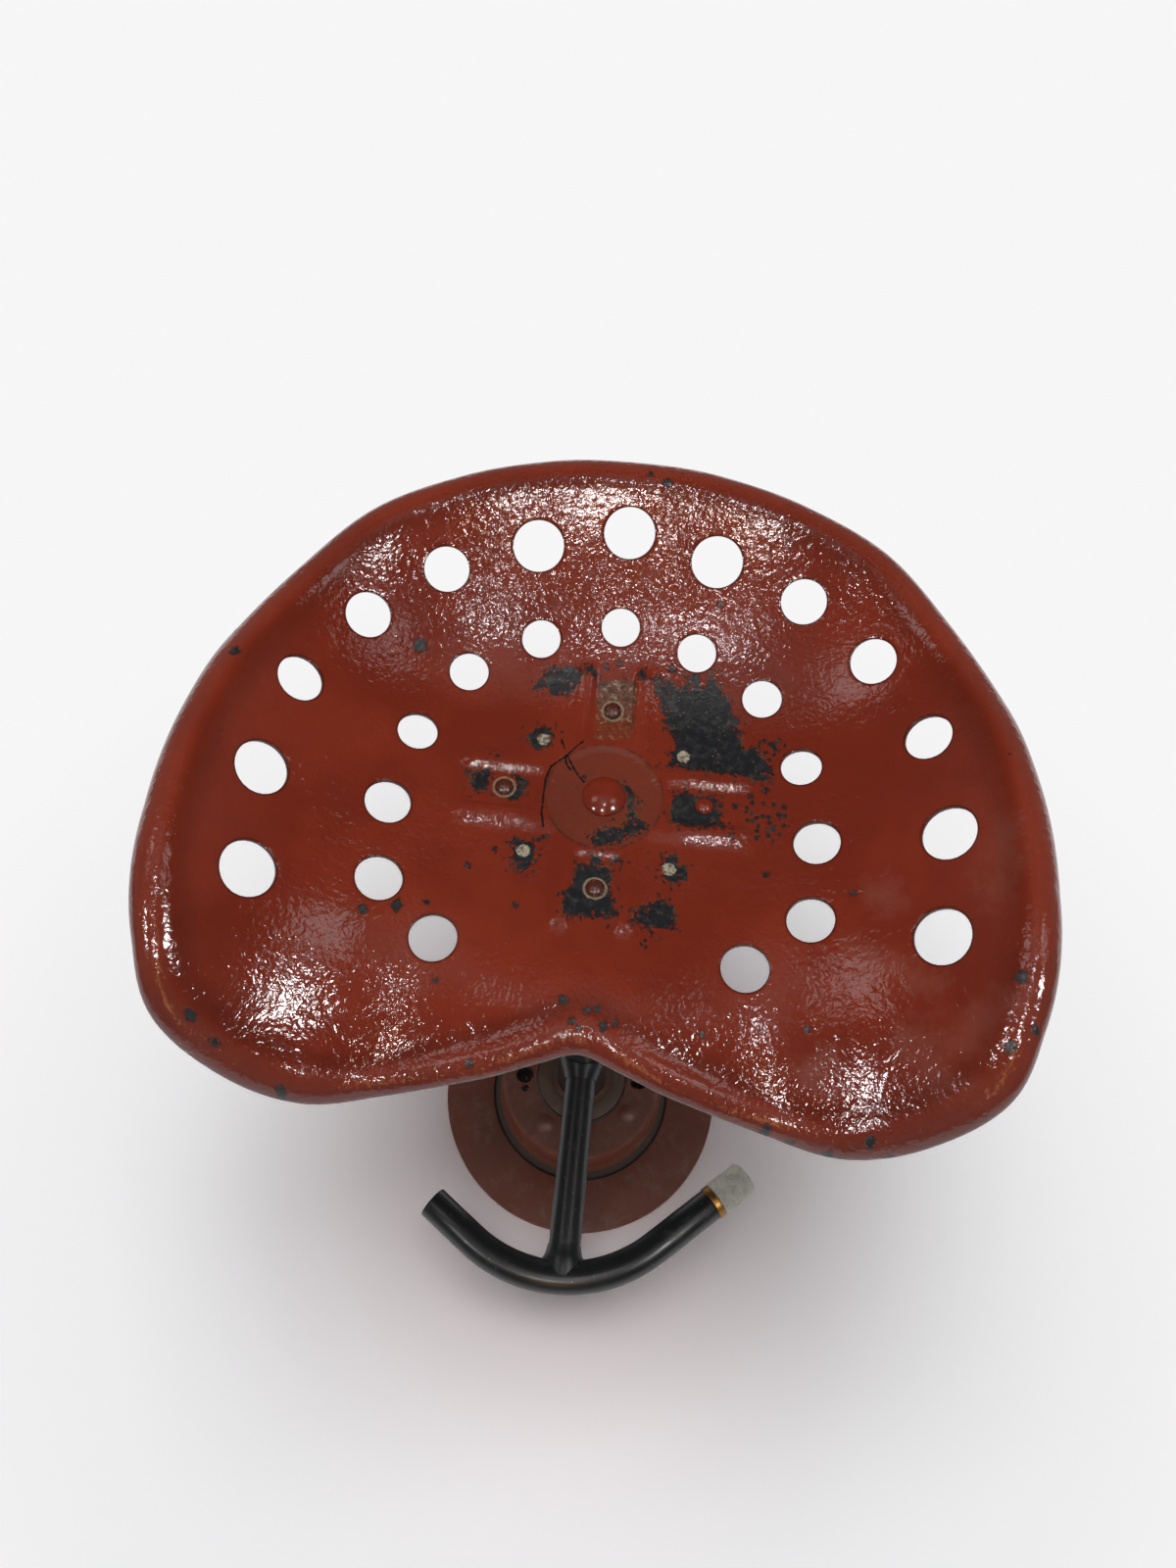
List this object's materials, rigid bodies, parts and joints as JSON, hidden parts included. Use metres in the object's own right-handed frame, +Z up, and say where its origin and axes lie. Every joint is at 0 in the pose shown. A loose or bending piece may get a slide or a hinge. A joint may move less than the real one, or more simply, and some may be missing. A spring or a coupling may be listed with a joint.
{
  "type": "tractor seat stool",
  "caption": "Stool with a pressed steel pan seat pierced by round holes, on a pipe post that turns in a brake disc foot, with a T-shaped footrest.",
  "frame": {"origin": "under the middle of the whole outline, on the floor; the post's axis stands 11.1 mm behind it", "axes": "+Z up the post, -Y to the front, where the sitter's legs and the footrest are, +X to the right seen from the front"},
  "size_m": [0.4406, 0.4044, 0.7382],
  "materials": {
    "red_enamel": "gloss red enamel with orange peel, chipped to a dark undercoat",
    "old_red": "thin worn red paint on rusty steel",
    "black_paint": "semi-gloss blue-black paint",
    "rusty_weld": "weld bead with brown rust",
    "oxide_iron": "matt red-brown paint, dusty, rubbed at the edges",
    "oxide_steel": "matt red-brown paint",
    "bare_ring": "turned steel gone dull",
    "plated_steel": "dull plated steel",
    "bush_bronze": "plain bronze",
    "ferrule_brass": "tarnished brass",
    "cap_plastic": "off-white, scuffed and chipped"
  },
  "bodies": {
    "base": {"brake_disc": "oxide_iron", "swivel_housing": "plated_steel", "upper_bush": "bush_bronze", "lower_bush": "bush_bronze", "hub_bolt_1": "oxide_steel", "hub_washer_1": "plated_steel", "hub_nut_1": "plated_steel", "hub_bolt_2": "oxide_steel", "hub_washer_2": "plated_steel", "hub_nut_2": "plated_steel", "hub_bolt_3": "oxide_steel", "hub_washer_3": "plated_steel", "hub_nut_3": "plated_steel", "hub_bolt_4": "oxide_steel", "hub_washer_4": "plated_steel", "hub_nut_4": "plated_steel"},
    "column": {"spindle": "plated_steel", "spindle_washer": "plated_steel", "spindle_nut": "plated_steel", "hub_ring": "bare_ring", "post": "black_paint", "foot_weld": "rusty_weld", "head_weld": "black_paint", "footrest_stem": "black_paint", "stem_weld": "black_paint", "bar_weld": "black_paint", "footrest_bar": "black_paint", "ferrule": "ferrule_brass", "end_cap": "cap_plastic", "seat_pan": "red_enamel", "back_plate": "black_paint", "head_plate": "black_paint", "seat_nut": "plated_steel", "seat_bolt": "red_enamel", "pan_rivet_1": "old_red", "pan_rivet_2": "old_red", "pan_rivet_3": "old_red", "pan_rivet_4": "old_red"}
  },
  "joints": [
    {"name": "swivel", "type": "hinge", "parent": "base", "child": "column", "pos_m": [0, 0.01113, 0.045], "axis": [0, 0, 1], "continuous": true}
  ]
}
